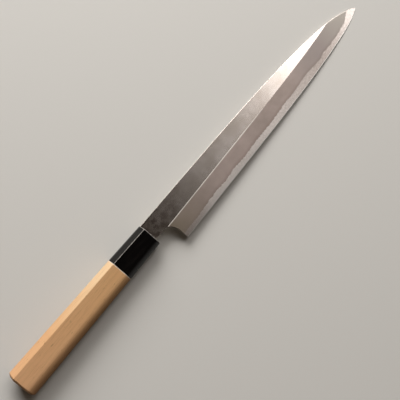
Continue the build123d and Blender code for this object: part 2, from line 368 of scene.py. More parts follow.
def weld_border(tree, spot, side):
    """Share of iron across the weld: a smooth step 0.8 mm wide whose place wanders by half a
    millimetre, in ripples of some 2.4 mm. side is 1 where weld_gap grows into the iron and -1 in
    the steel."""
    ripple = add_node(tree, "TexNoise", [
        ("Vector", spot), ("Scale", 420.0), ("Detail", 3.0), ("Roughness", 0.6),
    ])
    gap = add_node(tree, "Attribute", attribute_name="weld_gap").outputs["Fac"]
    signed = add_node(tree, "Math", [(0, gap), (1, side)], operation="MULTIPLY")
    centred = add_node(tree, "Math", [(0, ripple), (1, 0.5)], operation="SUBTRACT")
    moved = add_node(tree, "Math", [(0, centred), (1, 2.0), (2, signed)], operation="MULTIPLY_ADD")
    return add_node(tree, "MapRange", [
        ("Value", moved), ("From Min", -0.4), ("From Max", 0.4),
    ], interpolation_type="SMOOTHSTEP")


def finish_material(tree, sockets):
    """Ends a material with one Principled shader that has these inputs."""
    shader = add_node(tree, "BsdfPrincipled", sockets)
    add_node(tree, "OutputMaterial", [("Surface", shader)])


# Colours that iron and steel share, and how deep stone and paper scratch, in metres
# The first colour is the painted highlight on the ridge and, near the tip, on the spine
painted_highlight_colour = "#FBF4EA"
dull_steel, bright_steel = "#AB9E96", "#F9EFE8"
steel_metallic, haze_metallic = 0.85, 0.6
steel_roughness = 0.4
scratch_depth = 0.00005

# Soft iron, belt ground along the blade and buffed: a satin mirror, so it shows dark where the
# ceiling is dark and nearly white where it meets a lamp. Its tone clouds over some 11 mm, and
# faint brown stains 5 mm across lie near the ferrule, where it is wiped least. A painted highlight
# lines the ridge up to the middle of the blade. The grind lines are some 0.05 mm apart, far below
# a pixel, so only their gloss is drawn.
satin_iron, tree = new_material("satin_ground_iron")
spot = add_node(tree, "TexCoord").outputs["Object"]
along = add_node(tree, "Attribute", attribute_name="along").outputs["Fac"]
clouds = add_node(tree, "TexNoise", [("Vector", spot), ("Scale", 90.0), ("Detail", 4.0), ("Roughness", 0.55)])
stain = add_node(tree, "MapRange", [("Value", clouds), ("From Min", 0.35), ("From Max", 0.7)])
neck = add_node(tree, "MapRange", [("Value", along), ("From Min", 46.0), ("From Max", 8.0), ("To Max", 0.9)])
blotch = add_node(tree, "TexNoise", [("Vector", spot), ("Scale", 210.0), ("Detail", 4.0), ("Roughness", 0.6)])
soil = add_node(tree, "MapRange", [
    ("Value", blotch), ("From Min", 0.42), ("From Max", 0.6), ("To Max", neck),
])
# Painted highlight along the ridge on the flat's side, up to the middle of the blade
highlight_line = painted_ridge_highlight(tree, 0.42, 0.12)
colour = linear("#B9AEA5")
for share, tint in [(stain, "#C9BFB8"), (soil, "#8A7C72"), (highlight_line, painted_highlight_colour)]:
    coat = add_node(tree, "Mix", [(0, share), (6, colour), (7, linear(tint))], data_type="RGBA")
    colour = coat.outputs[2]
rough = add_node(tree, "MapRange", [
    ("Value", clouds), ("From Min", 0.3), ("From Max", 0.7), ("To Min", 0.194), ("To Max", 0.206),
])
rough_ridge = add_node(tree, "Mix", [(0, highlight_line), (2, rough), (3, 0.6)])
finish_material(tree, [("Base Color", colour), ("Metallic", 1.0), ("Roughness", rough_ridge)])

# Soft iron hazed on a water stone: an even matte with clouds some 14 mm across, the same from all
# sides, darker just above the weld, where the stone cuts the soft iron deepest. Painted shade and
# reflection change it along the blade: browner at the heel, greyer past the middle and lighter
# towards the tip. Below the weld it takes on the steel's look. Painted highlights line the ridge
# and, near the tip, the spine.
# Stone strokes are some 0.02 mm apart, so they are drawn 0.6 mm apart.
hazed_iron, tree = new_material("stone_hazed_iron")
spot = add_node(tree, "TexCoord").outputs["Object"]
along = add_node(tree, "Attribute", attribute_name="along").outputs["Fac"]
strokes = add_node(tree, "Mapping", [("Vector", spot), ("Rotation", (0, 0, 0.5)), ("Scale", (1600, 90, 400))])
stroke = add_node(tree, "TexNoise", [
    ("Vector", strokes), ("Scale", 1.0), ("Detail", 3.0), ("Roughness", 0.6),
])
clouds = add_node(tree, "TexNoise", [("Vector", spot), ("Scale", 70.0), ("Detail", 5.0), ("Roughness", 0.55)])
mist = add_node(tree, "MapRange", [("Value", clouds), ("From Min", 0.3), ("From Max", 0.7)])
# Painted shade and reflection along the blade: browner at the heel, greyer past the middle, lighter at the
# tip
heel = add_node(tree, "MapRange", [("Value", along), ("From Min", 62.0), ("From Max", 18.0), ("To Max", 0.9)])
far = add_node(tree, "MapRange", [
    ("Value", along), ("From Min", 175.0), ("From Max", 215.0), ("To Max", 0.8),
])
tip = add_node(tree, "MapRange", [
    ("Value", along), ("From Min", 225.0), ("From Max", 262.0), ("To Max", 0.6),
])
depth = add_node(tree, "MapRange", [
    ("Value", along), ("From Min", 262.0), ("From Max", 225.0), ("To Max", 0.4),
])
weld = add_node(tree, "Attribute", attribute_name="weld_gap").outputs["Fac"]
shade = add_node(tree, "MapRange", [
    ("Value", weld), ("From Min", 3.2), ("From Max", 0.0), ("To Max", depth),
], interpolation_type="SMOOTHSTEP")
iron = linear("#AA9A91")
coats = [(mist, "#BDABA3"), (far, "#A19691"), (tip, "#C2BCB0"), (heel, "#8F8271"), (shade, "#8B7D74")]
for share, tint in coats:
    coat = add_node(tree, "Mix", [(0, share), (6, iron), (7, linear(tint))], data_type="RGBA")
    iron = coat.outputs[2]
# The steel below the weld: its brightness along the blade is partly painted reflection
polish_and_reflection = add_node(tree, "Attribute", attribute_name="polish_and_reflection").outputs["Fac"]
steel = add_node(tree, "Mix", [
    (0, polish_and_reflection), (6, linear(dull_steel)), (7, linear(bright_steel)),
], data_type="RGBA")
iron_share = weld_border(tree, spot, 1.0)
across = add_node(tree, "Mix", [(0, iron_share), (6, steel.outputs[2]), (7, iron)], data_type="RGBA")
# Painted highlights: a line on the bevel's side of the ridge, and one along the spine near the tip
crown = add_node(tree, "Attribute", attribute_name="spine_gap").outputs["Fac"]
point = add_node(tree, "MapRange", [
    ("Value", along), ("From Min", 240.0), ("From Max", 252.0), ("To Max", 0.7),
])
spine_line = add_node(tree, "MapRange", [
    ("Value", crown), ("From Min", 0.7), ("From Max", 0.3), ("To Max", point),
])
highlight_line = add_node(tree, "Math", [
    (0, painted_ridge_highlight(tree, -0.38, -0.08)), (1, spine_line),
], operation="MAXIMUM")
colour = add_node(tree, "Mix", [
    (0, highlight_line), (6, across.outputs[2]), (7, linear(painted_highlight_colour)),
], data_type="RGBA")
rough = add_node(tree, "MapRange", [("Value", mist), ("To Min", 0.5), ("To Max", 0.58)])
rough_across = add_node(tree, "Mix", [(0, iron_share), (2, steel_roughness), (3, rough)])
metal_across = add_node(tree, "Mix", [(0, iron_share), (2, steel_metallic), (3, haze_metallic)])
scratch = add_node(tree, "Bump", [("Height", stroke), ("Strength", 0.1), ("Distance", scratch_depth)])
finish_material(tree, [
    ("Base Color", colour.outputs[2]), ("Metallic", metal_across), ("Roughness", rough_across),
    ("Normal", scratch),
])

# The spine, its chamfers and the neck: the same iron, ground across and eased with fine paper,
# brighter than the faces because the light rakes it. The grind is drawn 0.7 mm apart to show.
eased_iron, tree = new_material("paper_eased_iron")
spot = add_node(tree, "TexCoord").outputs["Object"]
lines = add_node(tree, "Mapping", [("Vector", spot), ("Scale", (1500, 60, 60))])
grind = add_node(tree, "TexNoise", [("Vector", lines), ("Scale", 1.0), ("Detail", 2.0), ("Roughness", 0.6)])
colour = add_node(tree, "Mix", [(0, grind), (6, linear("#B4ABA2")), (7, linear("#D2C9BF"))], data_type="RGBA")
scratch = add_node(tree, "Bump", [("Height", grind), ("Strength", 0.1), ("Distance", scratch_depth)])
finish_material(tree, [
    ("Base Color", colour.outputs[2]), ("Metallic", 1.0), ("Roughness", 0.36), ("Normal", scratch),
])

for finish in (satin_iron, hazed_iron, eased_iron):
    blade_body.data.materials.append(finish)
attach(blade_body, "root")
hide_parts("blade_iron")


# Cutting steel
# The lower layer is a thin plate of high-carbon steel that makes the whole back and the edge. On
# the bevel it shows as a brighter band below the weld, widening to all of the tip. The back is
# ground hollow on a wheel and lapped flat around its rim. Forge welding holds it to the iron.

hollow_depth = 0.32
hollow_edge_rim = 1.3
hollow_spine_rim = 1.6
hollow_heel_rim = 2.6
hollow_tip_rim = 15.0
hollow_places = np.array([-0.004, 0, 0.006, 0.02, 0.05, 0.1, 0.8, 0.88, 0.94, 0.98, 0.994, 1, 1.004])
hollow_widths = np.array([0, 0.35, 0.62, 0.86, 0.97, 1, 1, 0.99, 0.94, 0.8, 0.58, 0.35, 0])


def hollow_width(x):
    """Share of its full width that the hollow has at x: straight between the noted places."""
    start, end = heel_x + hollow_heel_rim, blade_length - hollow_tip_rim
    return np.interp((x - start) / (end - start), hollow_places, hollow_widths)


def hollow_border(x, side):
    """One long border of the hollow: the middle of the back, plus or less half its width there."""
    low, high = edge_y(x) + hollow_edge_rim, spine_y(x) - hollow_spine_rim
    return (low + high) / 2 + side * hollow_width(x) * np.maximum(high - low, 0) / 2


def hollow_inside(x, y):
    """One in the middle of the hollow, zero at its border and negative on the rim, as a parabola."""
    low, high = hollow_border(x, -1), hollow_border(x, 1)
    half = np.maximum((high - low) / 2, 1e-3)
    return 1 - np.minimum(((y - (low + high) / 2) / half) ** 2, 9)


def back_surface(x, y):
    """The flat back, raised inside the hollow by its parabola times its depth at that station."""
    return back_z + hollow_depth * hollow_width(x) ** 2 * np.maximum(hollow_inside(x, y), 0)


# One ring a station: the edge and the band below the weld, the inner face under the iron, the
# round into the spine's side, and the back with its hollow, from the spine to the edge
steel_stations = np.flatnonzero(low_x >= steel_start)
steel_low_x, steel_low_y = low_x[steel_stations], low_y[steel_stations]
steel_weld_x, steel_weld_y = weld_line_x[steel_stations], weld_line_y[steel_stations]
top_at_low = np.minimum(steel_top(steel_low_x), np.maximum(bevel_z(steel_low_x, steel_low_y), back_z))
edge_foot = np.stack([steel_low_x, steel_low_y, np.full_like(steel_low_x, back_z)], -1)[:, None]
edge_head = np.stack([steel_low_x, steel_low_y, top_at_low], -1)[:, None]
edge_steps = [0, 0.3, 0.6]
band_x, band_y = rows_between(steel_low_x, steel_low_y, steel_weld_x, steel_weld_y, edge_steps, weld_steps, 6)
band_z = np.minimum(top_z(band_x, band_y), np.maximum(steel_top(band_x), bevel_z(band_x, band_y)))
band_z = np.where(steel_low_x[:, None] < heel_x - tiny, steel_top(band_x), band_z)
band = np.stack([band_x, band_y, band_z], -1)[:, 1:]
side_x, side_at = high_x[steel_stations], side_y[steel_stations]
side_head_z = np.minimum(steel_top(side_x), (crown_z - drop)[steel_stations])
inner_x = np.linspace(steel_weld_x, side_x, 5, axis=1)[:, 1:]
inner_y = np.linspace(steel_weld_y, side_at, 5, axis=1)[:, 1:]
inner_z = np.linspace(band_z[:, -1], side_head_z, 5, axis=1)[:, 1:]
inner = np.stack([inner_x, inner_y, inner_z], -1)
outer_y = (crown_y + chamfer)[steel_stations]
outer_z = np.minimum(side_head_z, (crown_z - chamfer)[steel_stations])
outer = spine_round(weld_turn, np.full_like(high_x, np.pi / 2), 5)[steel_stations, 1:]
outer[..., 2] = np.minimum(outer[..., 2], side_head_z[:, None])
back_chamfer = np.minimum(chamfer[steel_stations], 0.5 * (outer_z - back_z))
wall_foot = np.stack([side_x, outer_y, back_z + back_chamfer], -1)[:, None]
rim_x, rim_y = side_x, outer_y - back_chamfer


def back_line_at(side):
    """Share of each station's line across the back, from spine to edge, where it meets a border."""
    across = np.minimum(steel_low_y - rim_y, -tiny)
    t = np.full_like(rim_x, 0.5)
    for _ in range(8):
        x = rim_x + t * (steel_low_x - rim_x)
        t = np.clip((hollow_border(x, side) - rim_y) / across, 0.02, 0.98)
    return t[:, None]


spine_border, edge_border = back_line_at(1), back_line_at(-1)
back_t = np.concatenate([
    spine_border * np.linspace(0, 1, 5)[:-1],
    spine_border + (edge_border - spine_border) * (1 - np.cos(np.linspace(0, np.pi, 25))) / 2,
    edge_border + (1 - edge_border) * np.linspace(0, 1, 5)[1:],
], 1)
back_x = rim_x[:, None] + back_t * (steel_low_x - rim_x)[:, None]
back_y = rim_y[:, None] + back_t * (steel_low_y - rim_y)[:, None]
back = np.stack([back_x, back_y, back_surface(back_x, back_y)], -1)[:, :-1]
steel_rings = np.concatenate([edge_foot, edge_head, band, inner, outer, wall_foot, back], 1)
front_rows = 1 + band.shape[1]
side_rows = inner.shape[1] + outer.shape[1] + 2
back_rows = steel_rings.shape[1] - front_rows - side_rows
steel_zones = np.repeat([0, 1, 2], [front_rows, side_rows, back_rows])
steel_marks = {
    "edge_gap": steel_rings[..., 1] - steel_low_y[:, None],
    "weld_gap": steel_weld_y[:, None] - steel_rings[..., 1],
    "hollow": hollow_inside(steel_rings[..., 0], steel_rings[..., 1]),
    "polish_and_reflection": np.interp(steel_rings[..., 0], polish_and_reflection_places, polish_and_reflection_shares),
}
cutting_steel = shell_piece("cutting_steel_plate", steel_rings, steel_zones, steel_marks)

# High-carbon steel polished on a finer stone than the iron: lighter, a little glossier, with a
# faint mottle 1.4 mm across and a bright line where the edge is honed. Its brightness along the
# blade is partly painted reflection. Its stone strokes are drawn 0.6 mm apart, as the iron's are.
honed_steel, tree = new_material("stone_polished_steel")
spot = add_node(tree, "TexCoord").outputs["Object"]
strokes = add_node(tree, "Mapping", [
    ("Vector", spot), ("Rotation", (0, 0, 0.5)), ("Scale", (1600, 120, 400)),
])
stroke = add_node(tree, "TexNoise", [
    ("Vector", strokes), ("Scale", 1.0), ("Detail", 3.0), ("Roughness", 0.6),
])
mottle = add_node(tree, "TexNoise", [("Vector", spot), ("Scale", 700.0), ("Detail", 2.0), ("Roughness", 0.6)])
speck = add_node(tree, "MapRange", [
    ("Value", mottle), ("From Min", 0.3), ("From Max", 0.7), ("To Min", -0.14), ("To Max", 0.14),
])
polish_and_reflection = add_node(tree, "Attribute", attribute_name="polish_and_reflection").outputs["Fac"]
# Partly painted reflection: the steel's brightness along the blade, plus its mottle
uneven = add_node(tree, "Math", [(0, polish_and_reflection), (1, speck)], operation="ADD", use_clamp=True)
edge = add_node(tree, "Attribute", attribute_name="edge_gap").outputs["Fac"]
hone = add_node(tree, "MapRange", [("Value", edge), ("From Min", 0.6), ("From Max", 0.2)])
iron_share = weld_border(tree, spot, -1.0)
colour = linear(dull_steel)
for share, tint in [(uneven, bright_steel), (iron_share, "#94847B"), (hone, "#ECE7E0")]:
    coat = add_node(tree, "Mix", [(0, share), (6, colour), (7, linear(tint))], data_type="RGBA")
    colour = coat.outputs[2]
rough_across = add_node(tree, "Mix", [(0, iron_share), (2, steel_roughness), (3, 0.54)])
metal_across = add_node(tree, "Mix", [(0, iron_share), (2, steel_metallic), (3, haze_metallic)])
scratch = add_node(tree, "Bump", [("Height", stroke), ("Strength", 0.08), ("Distance", scratch_depth)])
finish_material(tree, [
    ("Base Color", colour), ("Metallic", metal_across), ("Roughness", rough_across),
    ("Normal", scratch),
])

# The back: the hollow is wheel ground, satin with fine lines across the blade, and its flat rim
# is lapped to a brighter shine on a fine stone. Wheel lines are drawn 0.5 mm apart to show.
lapped_steel, tree = new_material("hollow_ground_steel")
spot = add_node(tree, "TexCoord").outputs["Object"]
lines = add_node(tree, "Mapping", [("Vector", spot), ("Scale", (2000, 30, 2000))])
wheel = add_node(tree, "TexNoise", [("Vector", lines), ("Scale", 1.0), ("Detail", 3.0), ("Roughness", 0.6)])
inside = add_node(tree, "Attribute", attribute_name="hollow").outputs["Fac"]
rim = add_node(tree, "MapRange", [("Value", inside), ("From Min", 0.06), ("From Max", 0.0)])
tone = add_node(tree, "Mix", [(0, wheel), (6, linear("#A39C96")), (7, linear("#B9B2AB"))], data_type="RGBA")
colour = add_node(tree, "Mix", [(0, rim), (6, tone.outputs[2]), (7, linear("#CFC9C2"))], data_type="RGBA")
rough = add_node(tree, "MapRange", [("Value", rim), ("To Min", 0.38), ("To Max", 0.2)])
depth = add_node(tree, "MapRange", [("Value", rim), ("To Min", 0.2), ("To Max", 0.03)])
scratch = add_node(tree, "Bump", [("Height", wheel), ("Strength", depth), ("Distance", scratch_depth)])
finish_material(tree, [
    ("Base Color", colour.outputs[2]), ("Metallic", 1.0), ("Roughness", rough), ("Normal", scratch),
])

for finish in (honed_steel, eased_iron, lapped_steel):
    cutting_steel.data.materials.append(finish)
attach(cutting_steel, "root")
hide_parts("blade_steel")


# Handle wood
# One length of magnolia, planed to a rounded oval with a single ridge on its upper side, eased at
# the butt, and cut down at the front to the tenon that the ferrule is glued on. Unvarnished.

handle_length = 147.5
butt_ease_length = 1.7
butt_ease_depth, butt_ease_power = 1.7, 1.35
joint_ease = 0.25
ferrule_length = 36.2
handle_sink = 0.8
underside_radius = 34.0
rim_ease = 0.5
front_half_width = 10.75
body_start = butt_ease_length - handle_length
section_places = np.array([body_start, -ferrule_length, -rim_ease])
half_widths = np.array([12.745, 11.4, front_half_width])
side_radii = np.array([8.4, 7.4, 7.0])
ridge_offsets = np.array([6.1, 5.45, 5.1])
ridge_heights = np.array([9.65, 8.85, 8.5])
ridge_radius = 0.35
ridge_points = 9
tenon_half_width = 7.8
tenon_half_height = 5.4
tenon_length = 27.0


def handle_rings(x, inset):
    """Section by station: two side circles, an arc of the underside, and two flats tangent to the
    circles that meet at a small round on the ridge; the whole outline moves inwards by inset."""
    x, inset = x[:, None], inset[:, None]
    sizes = half_widths, side_radii, ridge_offsets, ridge_heights
    half, side, top_y, top_z = [np.interp(x, section_places, size) for size in sizes]
    centre = half - side
    reach_z = np.sqrt((underside_radius - side) ** 2 - centre ** 2)
    under = np.arctan2(-reach_z, centre)

    def tangent(sign):
        """Angle on a side circle where a line from the ridge's sharp corner touches it."""
        across, up = top_y - sign * centre, top_z + handle_sink
        return np.arctan2(up, across) - sign * np.arccos(side / np.hypot(across, up))

    spine_side, edge_side = tangent(1), tangent(-1)
    fillet = inset + ridge_radius
    spread = 1 + np.cos(edge_side - spine_side)
    fillet_y = top_y - fillet * (np.cos(edge_side) + np.cos(spine_side)) / spread
    fillet_z = top_z - fillet * (np.sin(edge_side) + np.sin(spine_side)) / spread

    def arc(centre_y, centre_z, radius, start, end, count):
        """Points on a circle across the handle, evenly between two angles."""
        angle = start + (end - start) * np.linspace(0, 1, count)
        across, up = centre_y + radius * np.cos(angle), centre_z + radius * np.sin(angle)
        return np.stack([x + 0 * angle, across, up], -1)

    def flat(start, end, count):
        """Points evenly along a straight line, without its two ends."""
        return start + (end - start) * np.linspace(0, 1, count + 2)[1:-1, None]

    radius, belly = side - inset, underside_radius - inset
    ridge = arc(fillet_y, fillet_z, ridge_radius, edge_side, spine_side, ridge_points)
    spine_round = arc(centre, -handle_sink, radius, spine_side, under, 25)
    underside = arc(0 * centre, reach_z - handle_sink, belly, under, -np.pi - under, 25)[:, 1:-1]
    edge_round = arc(-centre, -handle_sink, radius, np.pi - under, edge_side, 29)
    strip = flat(ridge[:, -1:], spine_round[:, :1], 6)
    facet = flat(edge_round[:, -1:], ridge[:, :1], 9)
    return np.concatenate([ridge, strip, spine_round, underside, edge_round, facet], 1)


def shrunk(ring, x, shares):
    """Copies of one ring drawn in towards the handle's centre line, each by its share, at x."""
    copies = ring[None] * np.asarray(shares)[:, None, None]
    copies[..., 0] = x
    return copies


def ellipse_rings(ring, x, half_width, half_height):
    """Ellipses at each x whose points lie in the same directions as those of the ring."""
    angle = np.arctan2(ring[:, 2] / half_height, ring[:, 1] / half_width)
    made = np.stack([0 * angle, half_width * np.cos(angle), half_height * np.sin(angle)], -1)
    made = np.repeat(made[None], len(x), 0)
    made[..., 0] = x[:, None]
    return made


ease = np.linspace(0, 1, 9)
quarter = np.linspace(0, np.pi / 2, 6)
body_x = np.linspace(body_start, -ferrule_length - joint_ease, 60)[1:]
wood_x = np.concatenate([
    (butt_ease_length * (1 - ease) - handle_length)[::-1],
    body_x,
    (-ferrule_length - joint_ease * (1 - np.sin(quarter)))[1:],
])
wood_inset = np.concatenate([
    (butt_ease_depth * ease ** butt_ease_power)[::-1],
    0 * body_x,
    (joint_ease * (1 - np.cos(quarter)))[1:],
])
wood_body = handle_rings(wood_x, wood_inset)
tenon_end = tenon_length - ferrule_length
tenon_x = np.linspace(-ferrule_length, tenon_end, 8)
tenon = ellipse_rings(wood_body[-1], tenon_x, tenon_half_width, tenon_half_height)
pole = 0.002
wood_rings = np.concatenate([
    shrunk(wood_body[0], -handle_length, [pole, 0.2, 0.4, 0.6, 0.8, 0.9, 0.97]),
    wood_body,
    tenon,
    shrunk(tenon[-1], tenon_end, [0.6, 0.3, pole]),
])
wood_marks = {"front_gap": -ferrule_length - wood_rings[..., 0]}
handle_wood = shell_piece("magnolia_handle", wood_rings, np.zeros(wood_rings.shape[1]), wood_marks)

# Magnolia, planed and left bare: pale tan and even, with faint growth rings that run along the
# handle some 2.6 mm apart, fine vessels along the grain, and darker flecks 6 mm long. It is redder
# towards the butt. Painted shade browns its edge side, painted light makes it palest by the ferrule
# on the spine's side, and a painted highlight lines its edge at the joint.
# The vessels are 0.1 mm wide, so they are drawn 0.4 mm wide to show. Sizes are in metres.
ring_spacing, ring_sway, fibre_depth = 0.0026, 0.006, 0.00008
log_heart = (0, 0.062, 0.085)
planed_wood, tree = new_material("planed_magnolia")
spot = add_node(tree, "TexCoord").outputs["Object"]
grain = add_node(tree, "Mapping", [("Vector", spot), ("Location", log_heart), ("Rotation", (0, 0, 0.012))])
split = add_node(tree, "SeparateXYZ", [("Vector", grain)])
radial = add_node(tree, "CombineXYZ", [("Y", split.outputs["Y"]), ("Z", split.outputs["Z"])])
distance = add_node(tree, "VectorMath", [(0, radial)], operation="LENGTH").outputs["Value"]
sway = add_node(tree, "Mapping", [("Vector", spot), ("Scale", (9, 45, 45))])
drift = add_node(tree, "TexNoise", [("Vector", sway), ("Scale", 1.0), ("Detail", 2.0), ("Roughness", 0.5)])
moved = add_node(tree, "Math", [(0, drift), (1, ring_sway), (2, distance)], operation="MULTIPLY_ADD")
rings = add_node(tree, "Math", [(0, moved), (1, 2 * np.pi / ring_spacing)], operation="MULTIPLY")
wave = add_node(tree, "Math", [(0, rings)], operation="SINE")
late = add_node(tree, "MapRange", [("Value", wave), ("From Min", 0.2), ("To Max", 0.1)])
fibre_map = add_node(tree, "Mapping", [("Vector", spot), ("Scale", (60, 2600, 2600))])
fibre = add_node(tree, "TexNoise", [
    ("Vector", fibre_map), ("Scale", 1.0), ("Detail", 3.0), ("Roughness", 0.65),
])
vessel = add_node(tree, "MapRange", [
    ("Value", fibre), ("From Min", 0.55), ("From Max", 0.75), ("To Max", 0.5),
])
fleck_map = add_node(tree, "Mapping", [("Vector", spot), ("Scale", (160, 520, 520))])
fleck = add_node(tree, "TexNoise", [
    ("Vector", fleck_map), ("Scale", 1.0), ("Detail", 1.0), ("Roughness", 0.5),
])
speck = add_node(tree, "MapRange", [("Value", fleck), ("From Min", 0.7), ("From Max", 0.78), ("To Max", 0.5)])
patch = add_node(tree, "TexNoise", [("Vector", sway), ("Scale", 1.7), ("Detail", 3.0), ("Roughness", 0.5)])
where = add_node(tree, "SeparateXYZ", [("Vector", spot)])
along, across = where.outputs["X"], where.outputs["Y"]
warm = add_node(tree, "MapRange", [
    ("Value", along), ("From Min", -0.11), ("From Max", -0.21), ("To Max", 0.6),
])
# Painted shade: the edge side of the handle is browned
painted_edge_side_shade = add_node(tree, "MapRange", [
    ("Value", across), ("From Min", -0.0015), ("From Max", -0.0075), ("To Max", 0.8),
])
spine_side = add_node(tree, "MapRange", [("Value", across), ("From Min", 0.0108), ("From Max", 0.012)])
# Painted light: the spine's side by the ferrule is paled
painted_light_by_ferrule = add_node(tree, "MapRange", [
    ("Value", along), ("From Min", -0.172), ("From Max", -0.118), ("To Max", spine_side),
])
front = add_node(tree, "Attribute", attribute_name="front_gap").outputs["Fac"]
# Painted highlight along the wood's edge at the joint
painted_joint_highlight = add_node(tree, "MapRange", [("Value", front), ("From Min", 0.8), ("From Max", 0.3)])
colour = linear("#E6AF77")
for share, tint in [
    (patch, "#EDBD89"), (warm, "#EFB88B"), (painted_edge_side_shade, "#93602E"), (painted_light_by_ferrule, "#F8D2A4"),
    (late, "#BD8B5C"), (vessel, "#A87849"), (speck, "#9C6E43"), (painted_joint_highlight, "#F4E2CC"),
]:
    coat = add_node(tree, "Mix", [(0, share), (6, colour), (7, linear(tint))], data_type="RGBA")
    colour = coat.outputs[2]
rough = add_node(tree, "MapRange", [
    ("Value", fibre), ("From Min", 0.3), ("From Max", 0.7), ("To Min", 0.46), ("To Max", 0.58),
])
tooth = add_node(tree, "Bump", [("Height", fibre), ("Strength", 0.25), ("Distance", fibre_depth)])
finish_material(tree, [
    ("Base Color", colour), ("Roughness", rough), ("IOR", 1.5), ("Specular IOR Level", 0.25),
    ("Normal", tooth),
])
handle_wood.data.materials.append(planed_wood)
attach(handle_wood, "root")
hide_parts("grip")


# Horn ferrule
# A collar of black water-buffalo horn, bored for the tenon, glued on and shaped together with the
# wood, so the ridge runs through both. Its front rim is eased and the tang passes through it.

socket_room, socket_gap = 1.0, 0.05
joint_round = 0.12
highlight_spread = 0.6
socket_x = np.linspace(tenon_end + socket_room, -ferrule_length, 6)
collar_x = np.linspace(joint_round - ferrule_length, -rim_ease, 36)[1:]
horn_x = np.concatenate([
    -ferrule_length + joint_round * (1 - np.cos(quarter)),
    collar_x,
    (-rim_ease * (1 - np.sin(quarter)))[1:],
])
horn_inset = np.concatenate([
    joint_round * (1 - np.sin(quarter)),
    0 * collar_x,
    (rim_ease * (1 - np.cos(quarter)))[1:],
])
horn_body = handle_rings(horn_x, horn_inset)
socket = ellipse_rings(horn_body[0], socket_x, tenon_half_width + socket_gap, tenon_half_height + socket_gap)
front_shares = np.array([0.97, 0.9, 0.75, 0.5, 0.25, pole])
horn_rings = np.concatenate([
    shrunk(socket[0], socket_x[0], [pole, 0.5]),
    socket,
    horn_body,
    shrunk(horn_body[-1], 0, front_shares),
])

# How far each point is from the ridge's middle or from the front rim, whichever is nearer; the
# rim's distance counts for less, so the painted highlight along it is wider
front_face = slice(-len(front_shares), None)
rim_distance = np.abs(horn_rings[..., 0])
rim_distance[front_face] = (1 - front_shares[:, None]) * front_half_width
off_ridge = horn_rings[..., 1:] - horn_rings[:, [ridge_points // 2], 1:]
highlight_gap = np.minimum(np.hypot(off_ridge[..., 0], off_ridge[..., 1]), highlight_spread * rim_distance)
highlight_gap[front_face] = highlight_spread * rim_distance[front_face]
horn_ferrule = shell_piece(
    "buffalo_horn_ferrule", horn_rings, np.zeros(horn_rings.shape[1]), {"highlight_gap": highlight_gap}
)

# Water-buffalo horn, sanded fine and buffed: deep black with a soft gloss and hardly visible
# brown streaks along its length, up to 2 mm wide. A painted highlight, a dull grey line, runs along
# its ridge and its front rim, fainter in places some 4 mm apart.
buffed_horn, tree = new_material("buffed_buffalo_horn")
spot = add_node(tree, "TexCoord").outputs["Object"]
streak_map = add_node(tree, "Mapping", [("Vector", spot), ("Scale", (60, 500, 500))])
streak = add_node(tree, "TexNoise", [
    ("Vector", streak_map), ("Scale", 1.0), ("Detail", 3.0), ("Roughness", 0.6),
])
streaks = add_node(tree, "MapRange", [("Value", streak), ("From Min", 0.5), ("From Max", 0.8)])
highlight_breaks = add_node(tree, "TexNoise", [("Vector", spot), ("Scale", 260.0), ("Detail", 2.0), ("Roughness", 0.6)])
left = add_node(tree, "MapRange", [("Value", highlight_breaks), ("From Min", 0.38), ("From Max", 0.55), ("To Min", 0.45)])
gap = add_node(tree, "Attribute", attribute_name="highlight_gap").outputs["Fac"]
# Painted highlight: a grey line along the ridge and the front rim
painted_rim_highlight = add_node(tree, "MapRange", [("Value", gap), ("From Min", 0.42), ("From Max", 0.1), ("To Max", left)])
black = add_node(tree, "Mix", [
    (0, streaks), (6, linear("#070606")), (7, linear("#15110F")),
], data_type="RGBA")
colour = add_node(tree, "Mix", [(0, painted_rim_highlight), (6, black.outputs[2]), (7, linear("#B3ADA5"))], data_type="RGBA")
rough = add_node(tree, "MapRange", [
    ("Value", streak), ("From Min", 0.3), ("From Max", 0.7), ("To Min", 0.2), ("To Max", 0.27),
])
scratch = add_node(tree, "Bump", [("Height", streak), ("Strength", 0.08), ("Distance", scratch_depth)])
finish_material(tree, [
    ("Base Color", colour.outputs[2]), ("Roughness", rough), ("IOR", 1.54),
    ("Specular IOR Level", 0.24), ("Normal", scratch),
])
horn_ferrule.data.materials.append(buffed_horn)
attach(horn_ferrule, "root")
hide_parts("ferrule")


# Floor
# A plain pale painted board that the knife rests on, with its ferrule's underside and its tip. It
# is pale to the eye and in every mirror, darker only for the soft light that it throws back, and
# far off it runs into the pale backdrop.

def eye_or_mirror(tree):
    """1 on a ray from the camera or from a mirror or glass, and 0 on one of soft light."""
    ray = add_node(tree, "LightPath").outputs
    mirrored = add_node(tree, "Math", [
        (0, ray["Is Glossy Ray"]), (1, ray["Is Transmission Ray"]),
    ], operation="MAXIMUM")
    return add_node(tree, "Math", [(0, ray["Is Camera Ray"]), (1, mirrored)], operation="MAXIMUM")


floor_half = 8.0
backdrop = linear("#BEBAB4")
floor_mesh = bpy.data.meshes.new("pale_floor")
corners = np.array([(-1, -1, 0), (1, -1, 0), (1, 1, 0), (-1, 1, 0)]) * floor_half
floor_mesh.from_pydata(corners.tolist(), [], [(0, 1, 2, 3)])
floor = bpy.data.objects.new("pale_floor", floor_mesh)
bpy.context.scene.collection.objects.link(floor)

